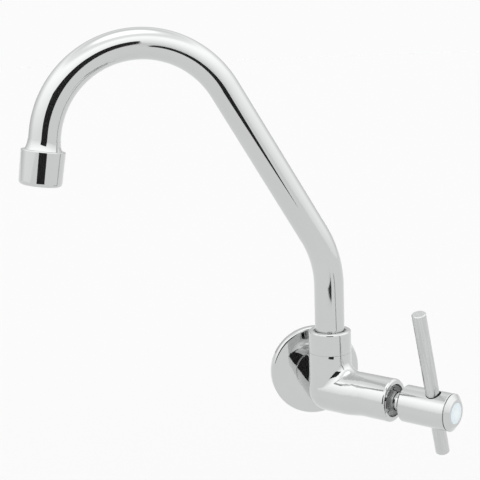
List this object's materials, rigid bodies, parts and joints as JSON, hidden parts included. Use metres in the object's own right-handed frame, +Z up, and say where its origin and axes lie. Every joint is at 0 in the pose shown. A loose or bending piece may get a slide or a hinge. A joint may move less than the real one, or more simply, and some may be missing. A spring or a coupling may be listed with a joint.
{
  "type": "wall-mounted kitchen faucet",
  "caption": "Wall-mounted kitchen tap: round wall flange, cast elbow body, swivelling gooseneck spout with aerator, and a bar handle that turns a ceramic valve.",
  "frame": {"origin": "on the inlet thread's axis, in the plane of the finished wall", "axes": "+Y into the wall along the inlet thread, -Y into the room, +Z up"},
  "size_m": [0.2564, 0.1347, 0.2656],
  "materials": {
    "polished_chrome": "polished chrome plate on brass",
    "satin_chrome": "satin chrome plate on brass",
    "plain_brass": "turned, unplated",
    "stainless_steel": "bright rolled",
    "black_rubber": "moulded nitrile rubber",
    "white_plastic": "moulded acetal",
    "index_plastic": "glossy moulded, faint blue tint",
    "alumina_ceramic": "lapped and polished"
  },
  "bodies": {
    "root": {"valve_body": "polished_chrome", "wall_flange": "polished_chrome", "spout_nut": "polished_chrome", "slip_ring": "white_plastic", "headwork_body": "satin_chrome", "headwork_o_ring": "black_rubber", "seat_seal": "black_rubber", "fixed_disc": "alumina_ceramic"},
    "spout": {"spout_tube": "polished_chrome", "spout_spigot": "plain_brass", "spout_o_rings": "black_rubber", "outlet_neck": "polished_chrome", "aerator_housing": "polished_chrome", "aerator_washer": "black_rubber", "aerator_insert": "white_plastic", "aerator_screen": "stainless_steel"},
    "handle": {"spindle": "plain_brass", "spindle_o_rings": "black_rubber", "spindle_circlip": "stainless_steel", "moving_disc": "alumina_ceramic", "handle_hub": "polished_chrome", "handle_screw": "stainless_steel", "handle_bar": "satin_chrome", "bar_lock_screw": "stainless_steel", "handle_cap": "polished_chrome", "index_disc": "index_plastic"}
  },
  "joints": [
    {"name": "spout_swivel", "type": "hinge", "parent": "root", "child": "spout", "pos_m": [0, -0.045, 0], "axis": [0, 0, 1], "range_deg": [-4, 176]},
    {"name": "handle_turn", "type": "hinge", "parent": "root", "child": "handle", "pos_m": [0, -0.045, 0], "axis": [0.6428, -0.766, 0], "range_deg": [0, 90]}
  ]
}
